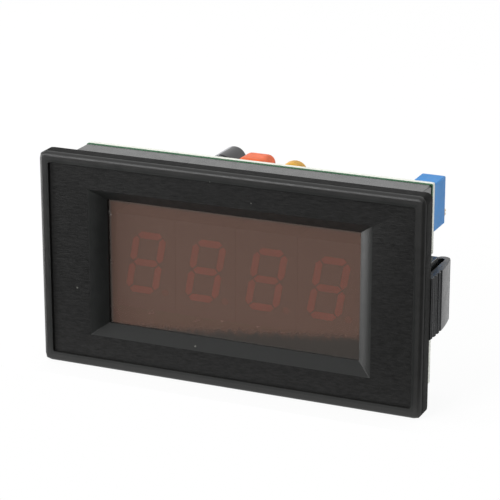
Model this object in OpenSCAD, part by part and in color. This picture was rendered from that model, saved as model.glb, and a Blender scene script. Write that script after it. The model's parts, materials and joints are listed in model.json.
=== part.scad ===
// Digital panel meter, 79 x 43 mm bezel, with LED digits, circuit board and side clips.
// Millimetres. X to the right, Y into the panel, Z up.
// The origin is the middle of the panel seat, the back face of the bezel flange.

/* [Bezel] */
// Width of the bezel
bezel_w = 79; // [76:0.5:90]
// Height of the bezel
bezel_h = 43; // [42:0.5:52]
// Thickness of the bezel flange, from the seat to the raised rim
flange_t = 4; // [3.8:0.1:6]
// Radius of the bezel corners, seen from the front
bezel_corner_r = 0.8; // [0.6:0.1:3]
// Radius along the front edge of the bezel
edge_r = 0.9; // [0.3:0.05:1]
// Width of the raised rim round the face
rim_w = 2.1; // [1.5:0.1:3]
// Step from the rim down to the grained face
face_step = 0.5; // [0.2:0.05:0.8]

/* [Window] */
// Width of the clear opening
opening_w = 52.2; // [50.9:0.1:54.2]
// Height of the clear opening
opening_h = 25.2; // [20:0.1:26]
// Width of the slope at each side of the opening
side_slope_w = 3.1; // [2:0.1:4]
// Width of the slope above and below the opening
top_slope_w = 2.25; // [1.5:0.05:3]
// Height of the straight lip at the bottom of the slope
lip_h = 0.5; // [0.3:0.05:0.8]
// How far the ledge that the filter lies on is in front of the seat
ledge_y = 0.8; // [0.6:0.05:1.2]

/* [Case body] */
// Width of the body that passes through the panel
body_w = 71.8; // [70.6:0.2:72.6]
// Height of the body
body_h = 39.8; // [39:0.2:40.4]
// Depth of the body behind the seat
body_d = 9.4; // [9.2:0.1:14]
// Wall of the body
wall = 1.6; // [1.2:0.1:1.9]
// Radius of the body's corners
body_corner_r = 0.3; // [0.2:0.1:1.5]
// Thickness of the front plate behind the grained face
plate_t = 2.2; // [1.8:0.1:2.6]

/* [Display] */
// Thickness of the display filter
filter_t = 1.2; // [0.8:0.1:1.5]
// Width of the ledge under the edge of the filter
filter_lap = 2; // [1:0.1:2.2]
// Number of digits
digit_count = 4; // [2:1:4]
// Width of one digit's body, and its pitch
digit_pitch = 12.7; // [12:0.1:12.7]
// Height of one digit's body
digit_body_h = 19; // [17:0.25:21]
// Thickness of one digit's body
digit_body_t = 8; // [6:0.1:8.2]
// Height of the lit figure
figure_h = 12.7; // [10:0.1:13]
// Width of the lit figure before it is slanted
figure_w = 7.1; // [6:0.1:7.4]
// Width of a light bar
bar_w = 1.5; // [1.1:0.05:1.7]
// Slant of the figures
slant = 10; // [0:1:12]

/* [Circuit board] */
// Thickness of the board
board_t = 1.6; // [1:0.1:2]
// How far the board stands out past the body all round
board_proud = 0.1; // [0:0.05:0.3]
// Diameter of the screws that hold the board
screw_d = 2.2; // [2:0.1:2.6]
// Length of the screws under the head
screw_l = 7; // [5:0.5:8]
// Diameter of the wire holes
wire_hole_d = 1.3; // [1:0.1:1.6]
// Pitch of the wire holes
wire_pitch = 5.08; // [3.81:0.01:5.08]

/* [Parts on the board] */
// Width of the trimmer
trimmer_w = 4.8; // [4.5:0.1:5.2]
// Length of the trimmer, up and down
trimmer_l = 9.5; // [9:0.1:10]
// Height of the trimmer off the board
trimmer_h = 10; // [8:0.1:11]
// Diameter of the electrolytic capacitor
can_d = 5; // [4:0.1:5.1]
// Height of the electrolytic capacitor
can_h = 8.5; // [6:0.1:11]
// Width of the orange capacitor
orange_w = 7.2; // [6:0.1:7.2]
// Height of the orange capacitor
orange_h = 6.9; // [5:0.1:9]
// Diameter of the yellow capacitor
yellow_d = 5; // [4:0.1:5.4]
// Diameter of a resistor's body
resistor_d = 2.3; // [1.8:0.1:2.4]
// Length of a resistor's body
resistor_l = 6.3; // [5.5:0.1:6.5]

/* [Clips] */
// Height of a clip
clip_h = 12; // [10:0.5:14]
// Length of a clip, along the depth of the meter
clip_l = 13.5; // [13:0.1:16]
// How far the crown of a clip stands out from the side of the body
clip_crown = 3.9; // [3.7:0.1:4.6]
// Pitch of the thumb grooves
groove_pitch = 1.75; // [1.6:0.05:1.9]
// Number of thumb grooves
groove_count = 3; // [2:1:3]
// Pitch of the ratchet teeth
tooth_pitch = 1; // [0.8:0.1:1.5]
// Middle of the clips, above the middle of the bezel
clip_z = -1; // [-2:0.5:2]

/* [Hidden] */
$fn = 48;
cut = 1; // how far a cutting solid runs past what it cuts
pin_d = 0.5;
hole_d = 0.9;
lead_d = 0.55;
stub = 1.2; // length of a lead past the board
fit = 0.2; // clearance of a piece that drops into a pocket
sliver = 0.05; // clearance of a close fit

// Places along the depth
rim_y = -flange_t;
face_y = rim_y + face_step;
plate_y = face_y + plate_t;
slope_end_y = -ledge_y - lip_h;
board_y = body_d;
board_back = board_y + board_t;
filter_back = filter_t - ledge_y;
digit_gap = 0.3;
digit_y = filter_back + digit_gap;
digit_back = digit_y + digit_body_t;

// Case
filter_w = opening_w + 2 * filter_lap;
filter_h = opening_h + 2 * filter_lap;
filter_corner_r = 0.5;
frame_wall = 1.8;
frame_w = filter_w + 2 * (fit + frame_wall);
frame_h = filter_h + 2 * (fit + frame_wall);
frame_back = filter_back + fit;
inner_w = body_w - 2 * wall;
inner_h = body_h - 2 * wall;
boss_r = 2.6;
boss_root = 0.1; // how far a boss runs into the wall beside it
boss_x = inner_w / 2 + boss_root - boss_r;
boss_z = inner_h / 2 + boss_root - boss_r;

// Rails, rack and clips, measured outwards from the side of the body
side_x = body_w / 2;
rail_out = 1.7;
rail_t = 1;
rail_lip = 0.9;
rail_lip_t = 0.5;
tooth_h = 0.4;
rack_h = 4.4;
rack_y = 1; // front of the first tooth
clip_in = 0.35;
leaf_t = 0.65;
relief = 0.3; // depth of the channel in the leaf that clears the rack
slot_w = 1.2;
bend_t = 1.4;
crown_r = 40;
crown_y = 4.5;
tail_taper = 0.8; // how much narrower the bend is than the crown
clip_front = 0.1;
groove_r = 0.5;
groove_depth = 0.35;
groove_y = 1.55;
pawl_y = 4.1;
pawl_l = 0.8;
notch_deep = 0.6;
rail_z = clip_h / 2 + fit; // inner face of a rail's web

// Board
board_w = body_w + 2 * board_proud;
board_h = body_h + 2 * board_proud;
board_corner_r = 0.3;
head_d = 4;
head_h = 1.4;
cross_l = 2.4;
cross_w = 0.6;
cross_deep = 0.7;
wire_edge = 3.1;
wire_z = wire_edge - body_h / 2;
wire_count = 5;

board_left = -board_w / 2;
board_right = board_w / 2;
board_low = -board_h / 2;
board_top = board_h / 2;

// Digits
row_gap = 15.24;
pin_pitch = 2.54;
pins_per_row = 5;
digit_side_gap = 0.1;
bar_deep = 0.5;
bar_gap = 0.15;
dot_d = 1.5;
foot_d = 1.2;
foot_in = 1.2;
foot_edge = 0.8;

// Parts on the board: middles, and heights off its back
standoff = 0.2;
edge_row_in = 0.1;
edge_row_z = board_top - edge_row_in;
can_x = -8.4;
can_z = edge_row_z - can_d / 2;
can_pitch = 2;
orange_x = -2.2;
orange_t = 4.4;
orange_z = edge_row_z - orange_t / 2;
orange_pitch = 5;
yellow_x = 6.4;
yellow_h = 5.8;
yellow_z = edge_row_z - yellow_d / 2;
yellow_pitch = 2.54;
trimmer_in = 3.7;
trimmer_x = board_right - trimmer_in;
trimmer_top_in = 1.6;
trimmer_z = board_top - trimmer_top_in - trimmer_l / 2;
trimmer_screw_d = 2;
trimmer_screw_out = 1.8;
trimmer_screw_in = 2;
trimmer_screw_x = 1.1;
trimmer_screw_edge = 1.75;
trimmer_y = board_back + standoff;
trimmer_back = trimmer_y + trimmer_h;
trimmer_foot = 0.8;
trimmer_corner_r = 0.3;
trimmer_slot_w = 0.5;
trimmer_slot_deep = 0.6;
trimmer_screw_gap = 1.5; // from the trimmer down to the head of the screw below it
side_boss_z = trimmer_z - trimmer_l / 2 - trimmer_screw_gap - head_d / 2;
bosses = [[-boss_x, boss_z], [boss_x, side_boss_z], [-boss_x, -boss_z], [boss_x, -boss_z]];
chip_w = 10;
chip_t = 2;
chip_lift = 0.1;
chip_z = 0;
chip_lead_pitch = 0.8;
chip_leads = 11;
chip_reach = 1.3;
chip_lead_w = 0.35;
chip_lead_t = 0.15;
resistor_pitch = 10.16;
// Middle and turn of each resistor and diode, from the board's edges
resistors = [
    [board_left + 8, 1, 90],
    [board_left + 4.8, 1, 90],
    [board_right - 7.5, -3.5, 90],
    [-17, board_low + 6.6, 0],
    [17, board_low + 6.6, 0]
];
diodes = [[-2.5, board_low + 7.4, 0], [board_right - 4.4, -3.5, 90]];
axial_bend = 0.8;
diode_d = 1.8;
diode_l = 4.2;
diode_pitch = 7.62;
discs = [[-16, board_top - 6.2], [15, board_top - 6.2]];
disc_d = 5;
disc_t = 2.2;
disc_edge = 0.15; // how much the sharp rim of the disc is rounded away
disc_pitch = 2.54;

// A flat outline drawn with Z up becomes a slab from y0 to y1
module slab(y0, y1) {
    translate([0, y1, 0])
        rotate([90, 0, 0])
            linear_extrude(y1 - y0)
                children();
}

// A plan drawn with X and Y becomes a solid from z0 to z1
module prism(z0, z1) {
    translate([0, 0, z0])
        linear_extrude(z1 - z0)
            children();
}

// A section drawn with Y and Z becomes a bar along X, w wide about the middle
module bar_along_x(w) {
    rotate([90, 0, 90])
        linear_extrude(w, center = true)
            children();
}

module rounded(w, h, r) {
    square([w - 2 * r, h], center = true);
    square([w, h - 2 * r], center = true);
    for (x = [-1, 1])
        for (y = [-1, 1])
            translate([x * (w / 2 - r), y * (h / 2 - r)])
                circle(r);
}

// Section of the flange across one direction, with its two front edges rounded
module flange_section(w) {
    translate([-w / 2, rim_y + edge_r])
        square([w, flange_t - edge_r]);
    translate([-w / 2 + edge_r, rim_y])
        square([w - 2 * edge_r, flange_t]);
    for (x = [-1, 1])
        translate([x * (w / 2 - edge_r), rim_y + edge_r])
            circle(edge_r);
}

module flange() {
    intersection() {
        slab(rim_y - cut, 0)
            rounded(bezel_w, bezel_h, bezel_corner_r);
        prism(-bezel_h, bezel_h)
            flange_section(bezel_w);
        bar_along_x(2 * bezel_w)
            mirror([1, -1, 0])
                flange_section(bezel_h);
    }
}

// Cuts the slope in one direction: wide at the grained face, narrow at the lip
module slope_section(w, slope) {
    deep = slope_end_y - face_y;
    run = slope * (deep + cut) / deep;
    polygon([
        [-w / 2, slope_end_y],
        [w / 2, slope_end_y],
        [w / 2 + run, face_y - cut],
        [-w / 2 - run, face_y - cut]
    ]);
}

module window_cut() {
    intersection() {
        prism(-bezel_h, bezel_h)
            slope_section(opening_w, side_slope_w);
        bar_along_x(2 * bezel_w)
            mirror([1, -1, 0])
                slope_section(opening_h, top_slope_w);
    }
    slab(slope_end_y - sliver, plate_y + cut)
        square([opening_w, opening_h], center = true);
}

// Two hooked rails above and below the place of the clip
module side_rails() {
    for (side = [-1, 1])
        translate([0, 0, clip_z])
            mirror([0, 0, side < 0 ? 1 : 0])
                rail();
}

module rail() {
    translate([side_x - wall / 2, -face_step, rail_z])
        cube([rail_out + wall / 2, body_d + face_step, rail_t]);
    translate([side_x + rail_out - rail_lip_t, -face_step, rail_z - rail_lip])
        cube([rail_lip_t, body_d + face_step, rail_lip + rail_t]);
}

// Saw-tooth rack between the rails; each tooth is steep towards the front
module rack() {
    count = floor((body_d - rack_y) / tooth_pitch);
    translate([side_x, 0, clip_z])
        prism(-rack_h / 2, rack_h / 2)
            polygon(concat(
                [[-wall / 2, rack_y], [0, rack_y]],
                [for (i = [0 : count - 1]) each [
                    [tooth_h, rack_y + i * tooth_pitch],
                    [0, rack_y + (i + 1) * tooth_pitch]
                ]],
                [[-wall / 2, rack_y + count * tooth_pitch]]
            ));
}

module both_sides() {
    children();
    mirror([1, 0, 0])
        children();
}

module bezel_case() {
    color([0.13, 0.13, 0.14])
        union() {
            difference() {
                union() {
                    flange();
                    slab(face_y + cut, body_d)
                        rounded(body_w, body_h, body_corner_r);
                    both_sides() {
                        side_rails();
                        rack();
                    }
                }
                slab(rim_y - cut, face_y)
                    rounded(bezel_w - 2 * rim_w, bezel_h - 2 * rim_w, bezel_corner_r / 2);
                slab(plate_y, body_d + cut)
                    rounded(inner_w, inner_h, body_corner_r);
                window_cut();
            }
            filter_frame();
            screw_bosses();
        }
}

// Frame behind the front plate, with the pocket for the filter
module filter_frame() {
    difference() {
        slab(plate_y - sliver, frame_back)
            rounded(frame_w, frame_h, body_corner_r);
        slab(-ledge_y, frame_back + cut)
            square([filter_w + 2 * fit, filter_h + 2 * fit], center = true);
        window_cut();
    }
}

module screw_bosses() {
    for (b = bosses)
        difference() {
            translate([b[0], 0, b[1]])
                slab(plate_y - sliver, body_d)
                    circle(boss_r);
            translate([b[0], 0, b[1]])
                slab(body_d - screw_l - fit, body_d + cut)
                    circle(d = screw_d + 2 * sliver);
        }
}

module display_filter() {
    color([0.36, 0.2, 0.17])
        slab(-ledge_y, filter_back)
            rounded(filter_w, filter_h, filter_corner_r);
}

function digit_x(i) = (i - (digit_count + 1) / 2) * digit_pitch;

// Leans a point of the upright figure over by the slant
function leaned(p) = [p[0] + p[1] * tan(slant), p[1]];

// A light bar from a to b with pointed ends, grown by g on every side
function bar_points(a, b, g) =
    let (
        u = (b - a) / norm(b - a),
        n = [-u[1], u[0]],
        half = bar_w / 2 + g,
        from = a + u * (bar_gap - g),
        to = b - u * (bar_gap - g)
    ) [
        from,
        from + (u + n) * half,
        to + (n - u) * half,
        to,
        to - (n + u) * half,
        from + (u - n) * half
    ];

module figure(g) {
    x = (figure_w - bar_w) / 2;
    z = (figure_h - bar_w) / 2;
    bars = [
        [[-x, z], [x, z]],
        [[-x, 0], [x, 0]],
        [[-x, -z], [x, -z]],
        [[-x, 0], [-x, z]],
        [[-x, -z], [-x, 0]],
        [[x, 0], [x, z]],
        [[x, -z], [x, 0]]
    ];
    for (b = bars)
        polygon([for (p = bar_points(b[0], b[1], g)) leaned(p)]);
    dot = leaned([figure_w / 2 + dot_d, -figure_h / 2 + dot_d / 2]);
    translate(dot)
        circle(d = dot_d + 2 * g);
}

module digit_body(i) {
    w = digit_pitch - digit_side_gap;
    color([0.2, 0.2, 0.2])
        translate([digit_x(i), 0, 0]) {
            difference() {
                slab(digit_y, digit_back)
                    square([w, digit_body_h], center = true);
                slab(digit_y - cut, digit_y + bar_deep)
                    figure(0);
            }
            for (x = [-1, 1])
                for (z = [-1, 1])
                    translate([x * (w / 2 - foot_in), 0, z * (digit_body_h / 2 - foot_edge)])
                        slab(digit_back - sliver, board_y)
                            circle(d = foot_d);
        }
}

module digit_bars(i) {
    color([0.55, 0.24, 0.2])
        translate([digit_x(i), 0, 0])
            slab(digit_y, digit_y + bar_deep)
                figure(-sliver);
}

// Places of the pins of one digit
module digit_pin_places() {
    for (n = [0 : pins_per_row - 1])
        for (z = [-1, 1])
            translate([(n - (pins_per_row - 1) / 2) * pin_pitch, 0, z * row_gap / 2])
                children();
}

module digit_pins(i) {
    color([0.78, 0.78, 0.76])
        translate([digit_x(i), 0, 0])
            digit_pin_places()
                slab(digit_back, board_back + stub)
                    circle(d = pin_d);
}

// Two lead places, pitch apart, about a middle, turned by angle in the board's plane
module lead_places(x, z, pitch, angle) {
    translate([x, 0, z])
        rotate([0, angle, 0])
            for (s = [-1, 1])
                translate([s * pitch / 2, 0, 0])
                    children();
}

module lead_hole() {
    slab(board_y - cut, board_back + cut)
        circle(d = hole_d);
}

module board_holes() {
    for (i = [1 : digit_count])
        translate([digit_x(i), 0, 0])
            digit_pin_places()
                lead_hole();
    lead_places(can_x, can_z, can_pitch, 0)
        lead_hole();
    lead_places(orange_x, orange_z, orange_pitch, 0)
        lead_hole();
    lead_places(yellow_x, yellow_z, yellow_pitch, 0)
        lead_hole();
    for (r = resistors)
        lead_places(r[0], r[1], resistor_pitch, r[2])
            lead_hole();
    for (d = diodes)
        lead_places(d[0], d[1], diode_pitch, d[2])
            lead_hole();
    for (d = discs)
        lead_places(d[0], d[1], disc_pitch, 0)
            lead_hole();
    trimmer_pin_places()
        lead_hole();
    for (b = bosses)
        translate([b[0], 0, b[1]])
            slab(board_y - cut, board_back + cut)
                circle(d = screw_d + 2 * fit);
    for (n = [0 : wire_count - 1])
        translate([(n - (wire_count - 1) / 2) * wire_pitch, 0, wire_z])
            slab(board_y - cut, board_back + cut)
                circle(d = wire_hole_d);
}

module circuit_board() {
    color([0.16, 0.42, 0.24])
        difference() {
            slab(board_y, board_back)
                rounded(board_w, board_h, board_corner_r);
            both_sides()
                translate([side_x - notch_deep, board_y - cut, clip_z - rail_z - rail_t])
                    cube([board_w, board_t + 2 * cut, 2 * (rail_z + rail_t)]);
            board_holes();
        }
}

module board_screws() {
    color([0.75, 0.75, 0.77])
        for (b = bosses)
            translate([b[0], 0, b[1]])
                difference() {
                    union() {
                        slab(board_y - screw_l + board_t, board_back + sliver)
                            circle(d = screw_d);
                        slab(board_back, board_back + head_h)
                            circle(d = head_d);
                    }
                    translate([0, board_back + head_h, 0])
                        for (size = [[cross_l, cross_w], [cross_w, cross_l]])
                            cube([size[0], 2 * cross_deep, size[1]], center = true);
                }
}

module trimmer_pin_places() {
    for (n = [-1 : 1])
        translate([trimmer_x, 0, trimmer_z + n * pin_pitch])
            children();
}

module trimmer_screw_place() {
    translate([trimmer_x + trimmer_screw_x, 0, trimmer_z - trimmer_l / 2 + trimmer_screw_edge])
        children();
}

module trimmer_body() {
    color([0.24, 0.5, 0.82])
        difference() {
            union() {
                translate([trimmer_x, 0, trimmer_z])
                    slab(trimmer_y, trimmer_back)
                        rounded(trimmer_w, trimmer_l, trimmer_corner_r);
                for (z = [-1, 1])
                    translate([trimmer_x, 0, trimmer_z + z * (trimmer_l / 2 - trimmer_foot)])
                        slab(board_back, trimmer_y + sliver)
                            square([trimmer_w - trimmer_foot, trimmer_foot], center = true);
            }
            trimmer_screw_place()
                slab(trimmer_back - trimmer_screw_in - sliver, trimmer_back + cut)
                    circle(d = trimmer_screw_d + 2 * sliver);
        }
}

module trimmer_pins() {
    color([0.78, 0.78, 0.76])
        trimmer_pin_places()
            slab(board_y - stub, trimmer_y)
                circle(d = pin_d);
}

module trimmer_screw() {
    color([0.78, 0.62, 0.3])
        trimmer_screw_place()
            difference() {
                slab(trimmer_back - trimmer_screw_in, trimmer_back + trimmer_screw_out)
                    circle(d = trimmer_screw_d);
                translate([0, trimmer_back + trimmer_screw_out, 0])
                    cube([2 * trimmer_screw_d, 2 * trimmer_slot_deep, trimmer_slot_w], center = true);
            }
}

// Straight leads of a part that stands on the board, up to its underside
module straight_leads(x, z, pitch, reach = 0) {
    color([0.78, 0.78, 0.76])
        lead_places(x, z, pitch, 0)
            slab(board_y - stub, board_back + standoff + reach)
                circle(d = lead_d);
}

// A can whose sleeve is rolled over at both ends and necked in near the board
module electrolytic_capacitor() {
    r = can_d / 2;
    roll = 0.4;
    neck = 0.25;
    neck_h = 1.2;
    dish = 0.15;
    color([0.14, 0.14, 0.15])
        translate([can_x, board_back + standoff, can_z])
            rotate([-90, 0, 0])
                rotate_extrude()
                    difference() {
                        union() {
                            square([r - roll, can_h]);
                            translate([0, roll])
                                square([r, can_h - 2 * roll]);
                            for (y = [roll, can_h - roll])
                                translate([r - roll, y])
                                    circle(roll);
                        }
                        translate([r + neck, neck_h])
                            circle(2 * neck);
                        translate([0, can_h - dish])
                            square([r - 2 * roll, cut]);
                    }
}

// A dipped capacitor: a rounded plate with a rounded rim, standing on the board
module film_capacitor() {
    r = 1.6;
    color([0.9, 0.42, 0.2])
        translate([orange_x, board_back + standoff + orange_h / 2, orange_z])
            intersection() {
                linear_extrude(orange_t, center = true)
                    rounded(orange_w, orange_h, r);
                rotate([90, 0, 0])
                    linear_extrude(2 * orange_h, center = true)
                        rounded(orange_w, orange_t, r * 0.9);
                rotate([90, 0, 90])
                    linear_extrude(2 * orange_w, center = true)
                        rounded(orange_h, orange_t, r * 0.9);
            }
}

// A dipped bead of round section, cut flat where its leads go in
module ceramic_capacitor() {
    r = yellow_d / 2;
    flat = 0.6; // how much of the round end is cut away
    color([0.9, 0.65, 0.22])
        translate([yellow_x, board_back + standoff, yellow_z])
            rotate([-90, 0, 0])
                rotate_extrude()
                    intersection() {
                        square([r, yellow_h]);
                        union() {
                            translate([0, r - flat])
                                circle(r);
                            translate([0, r - flat])
                                square([r, yellow_h + flat - yellow_d]);
                            translate([0, yellow_h - r])
                                circle(r);
                        }
                    }
}

// Section of the chip, widest at half its thickness
module chip_section() {
    draft = 0.2;
    half = chip_w / 2;
    polygon([
        [draft - half, 0],
        [half - draft, 0],
        [half, chip_t / 2],
        [half - draft, chip_t],
        [draft - half, chip_t],
        [-half, chip_t / 2]
    ]);
}

module converter_chip() {
    mark_in = 1.5;
    mark_r = 0.5;
    mark_deep = 0.1;
    color([0.16, 0.16, 0.17])
        translate([0, board_back + chip_lift, chip_z])
            difference() {
                intersection() {
                    prism(-chip_w, chip_w)
                        chip_section();
                    bar_along_x(2 * chip_w)
                        mirror([1, -1, 0])
                            chip_section();
                }
                translate([mark_in - chip_w / 2, 0, chip_w / 2 - mark_in])
                    slab(chip_t - mark_deep, chip_t + cut)
                        circle(mark_r);
            }
}

// Section of one gull-wing lead, from the chip's side down to the board
module gull_wing() {
    top = chip_t / 2;
    bend = 0.45;
    polygon([
        [0, top],
        [bend, top],
        [chip_reach - bend - chip_lead_t, 0],
        [chip_reach, 0],
        [chip_reach, chip_lead_t],
        [chip_reach - bend, chip_lead_t],
        [bend + chip_lead_t, top + chip_lead_t],
        [0, top + chip_lead_t]
    ]);
}

module converter_leads() {
    color([0.78, 0.78, 0.76])
        translate([0, board_back, chip_z])
            for (a = [0 : 90 : 270])
                rotate([0, a, 0])
                    for (n = [0 : chip_leads - 1])
                        translate([chip_w / 2, 0, (n - (chip_leads - 1) / 2) * chip_lead_pitch])
                            linear_extrude(chip_lead_w, center = true)
                                gull_wing();
}

// Body with bulged ends, lying along X, d thick and l long
module axial_body(d, l, bulge) {
    cap = d * 0.62; // length of the thicker end
    bevel = d * 0.3;
    rotate([0, 90, 0])
        rotate_extrude()
            difference() {
                union() {
                    translate([0, -l / 2])
                        square([d / 2 - bulge, l]);
                    for (s = [-1, 1])
                        translate([0, s * (l / 2 - cap / 2) - cap / 2])
                            square([d / 2, cap]);
                }
                for (s = [-1, 1])
                    translate([d / 2, s * l / 2])
                        rotate(45)
                            square(bevel, center = true);
            }
}

// A lead from the end of an axial body, bent down into the board
module axial_lead(l, pitch, axis_h) {
    out = pitch / 2;
    rotate([0, 90, 0])
        translate([0, 0, l / 2])
            cylinder(d = lead_d, h = out - l / 2 - axial_bend);
    translate([out - axial_bend, -axial_bend, 0])
        rotate_extrude(angle = 90)
            translate([axial_bend, 0])
                circle(d = lead_d);
    translate([out, 0, 0])
        slab(-axis_h - board_t - stub, -axial_bend)
            circle(d = lead_d);
}

module resistor(i) {
    r = resistors[i - 1];
    color([0.78, 0.66, 0.48])
        translate([r[0], board_back + resistor_d / 2, r[1]])
            rotate([0, r[2], 0])
                axial_body(resistor_d, resistor_l, 0.2);
}

module resistor_leads(i) {
    r = resistors[i - 1];
    color([0.78, 0.78, 0.76])
        translate([r[0], board_back + resistor_d / 2, r[1]])
            rotate([0, r[2], 0])
                both_sides()
                    axial_lead(resistor_l, resistor_pitch, resistor_d / 2);
}

module diode(i) {
    d = diodes[i - 1];
    color([0.75, 0.35, 0.2])
        translate([d[0], board_back + diode_d / 2, d[1]])
            rotate([0, d[2], 0])
                axial_body(diode_d, diode_l, 0);
}

module diode_leads(i) {
    d = diodes[i - 1];
    color([0.78, 0.78, 0.76])
        translate([d[0], board_back + diode_d / 2, d[1]])
            rotate([0, d[2], 0])
                both_sides()
                    axial_lead(diode_l, diode_pitch, diode_d / 2);
}

// A disc standing on its edge, domed on both faces
module disc_capacitor(i) {
    d = discs[i - 1];
    dome_r = (disc_d * disc_d + disc_t * disc_t) / disc_t / 4;
    color([0.72, 0.5, 0.26])
        translate([d[0], board_back + standoff + disc_d / 2, d[1]])
            rotate_extrude()
                intersection() {
                    translate([0, -disc_t / 2])
                        square([disc_d / 2 - disc_edge, disc_t]);
                    translate([0, dome_r - disc_t / 2])
                        circle(dome_r, $fn = 96);
                    translate([0, disc_t / 2 - dome_r])
                        circle(dome_r, $fn = 96);
                }
}

module disc_leads(i) {
    d = discs[i - 1];
    straight_leads(d[0], d[1], disc_pitch, disc_edge);
}

// Plan of the right clip: a hairpin with its bend at the back
module clip_plan() {
    x_in = side_x + clip_in;
    crown_x = side_x + clip_crown;
    tail_w = crown_x - x_in - tail_taper;
    tail_r = tail_w / 2;
    slot_x = x_in + leaf_t;
    slot_end = clip_l - bend_t - slot_w / 2;
    difference() {
        intersection() {
            translate([crown_x - crown_r, crown_y])
                circle(crown_r, $fn = 180);
            union() {
                translate([x_in, clip_front])
                    square([2 * clip_crown, clip_l - clip_front - tail_r]);
                translate([x_in + tail_r, clip_l - tail_r])
                    circle(tail_r);
            }
        }
        translate([slot_x, clip_front - cut])
            square([slot_w, slot_end - clip_front + cut]);
        translate([slot_x + slot_w / 2, slot_end])
            circle(slot_w / 2);
        for (n = [0 : groove_count - 1])
            translate([crown_x + groove_r - groove_depth, groove_y + n * groove_pitch])
                circle(groove_r);
    }
}

module clip_solid() {
    x_in = side_x + clip_in;
    translate([0, 0, clip_z]) {
        difference() {
            prism(-clip_h / 2, clip_h / 2)
                clip_plan();
            translate([x_in - cut, clip_front - cut, -rack_h / 2 - fit])
                cube([cut + relief, clip_l + cut, rack_h + 2 * fit]);
        }
        prism(-rack_h / 2, rack_h / 2)
            pawl_plan();
    }
}

// Nib that rides over the crests of the rack
module pawl_plan() {
    root = side_x + clip_in + relief + sliver;
    tip = side_x + tooth_h + sliver;
    polygon([
        [root, pawl_y - pawl_l],
        [tip, pawl_y],
        [root, pawl_y + sliver]
    ]);
}

module right_clip() {
    color([0.1, 0.1, 0.11])
        clip_solid();
}

module left_clip() {
    color([0.1, 0.1, 0.11])
        mirror([1, 0, 0])
            clip_solid();
}

bezel_case();
display_filter();
circuit_board();
board_screws();
for (i = [1 : digit_count]) {
    digit_body(i);
    digit_bars(i);
    digit_pins(i);
}
trimmer_body();
trimmer_pins();
trimmer_screw();
electrolytic_capacitor();
straight_leads(can_x, can_z, can_pitch);  // electrolytic_leads
film_capacitor();
straight_leads(orange_x, orange_z, orange_pitch);  // film_capacitor_leads
ceramic_capacitor();
straight_leads(yellow_x, yellow_z, yellow_pitch);  // ceramic_capacitor_leads
converter_chip();
converter_leads();
for (i = [1 : len(resistors)]) {
    resistor(i);
    resistor_leads(i);
}
for (i = [1 : len(diodes)]) {
    diode(i);
    diode_leads(i);
}
for (i = [1 : len(discs)]) {
    disc_capacitor(i);
    disc_leads(i);
}
left_clip();
right_clip();
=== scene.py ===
import json
import math

import bmesh
import bpy
from mathutils import Matrix, Vector


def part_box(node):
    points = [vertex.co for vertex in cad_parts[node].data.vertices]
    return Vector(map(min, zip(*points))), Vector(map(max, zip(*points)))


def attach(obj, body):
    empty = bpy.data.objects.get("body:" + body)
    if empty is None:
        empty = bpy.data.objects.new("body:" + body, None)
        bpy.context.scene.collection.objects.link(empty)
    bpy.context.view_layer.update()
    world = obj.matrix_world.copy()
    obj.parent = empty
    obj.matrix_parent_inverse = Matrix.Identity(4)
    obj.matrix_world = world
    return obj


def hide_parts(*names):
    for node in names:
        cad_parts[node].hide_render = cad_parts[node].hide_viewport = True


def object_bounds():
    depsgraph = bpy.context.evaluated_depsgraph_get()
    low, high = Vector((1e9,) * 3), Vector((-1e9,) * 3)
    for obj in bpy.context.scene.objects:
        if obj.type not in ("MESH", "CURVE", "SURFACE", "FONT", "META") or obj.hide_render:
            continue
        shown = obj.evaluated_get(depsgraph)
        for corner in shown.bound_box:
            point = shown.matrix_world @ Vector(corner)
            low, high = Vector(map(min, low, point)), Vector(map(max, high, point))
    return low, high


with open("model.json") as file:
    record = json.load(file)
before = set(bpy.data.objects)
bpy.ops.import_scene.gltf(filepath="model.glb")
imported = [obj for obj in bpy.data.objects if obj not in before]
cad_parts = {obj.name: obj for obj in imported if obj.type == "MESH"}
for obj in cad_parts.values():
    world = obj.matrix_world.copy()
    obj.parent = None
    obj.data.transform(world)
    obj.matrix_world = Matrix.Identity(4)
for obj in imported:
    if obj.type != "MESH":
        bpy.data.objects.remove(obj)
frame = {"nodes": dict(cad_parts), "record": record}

cadBox = [list(corner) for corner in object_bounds()]
mm = 0.001


# Camera

cameraSetup = {
    "place": (0.1623, -0.3632, 0.1364),
    "target": (0.00507, -0.004, 0.00725),
    "lens": 159.06,
    "sensor": 36,
    "clip": (0.01, 20),
}


def addCamera():
    data = bpy.data.cameras.new("camera")
    data.lens = cameraSetup["lens"]
    data.sensor_width = cameraSetup["sensor"]
    data.clip_start, data.clip_end = cameraSetup["clip"]
    camera = bpy.data.objects.new("camera", data)
    bpy.context.scene.collection.objects.link(camera)
    camera.location = cameraSetup["place"]
    toTarget = Vector(cameraSetup["target"]) - camera.location
    camera.rotation_euler = toTarget.to_track_quat("-Z", "Y").to_euler()
    bpy.context.scene.camera = camera


addCamera()
print("camera ready")


# Helpers for materials

def addNode(tree, kind, **inputs):
    node = tree.nodes.new(kind)
    for name, value in inputs.items():
        node.inputs[name].default_value = value
    return node


def newMaterial(name, color, roughness, **sockets):
    material = bpy.data.materials.new(name)
    material.use_nodes = True
    shader = material.node_tree.nodes["Principled BSDF"]
    shader.inputs["Base Color"].default_value = (*color, 1)
    shader.inputs["Roughness"].default_value = roughness
    for socket, value in sockets.items():
        shader.inputs[socket].default_value = value
    return material, material.node_tree, shader


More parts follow.
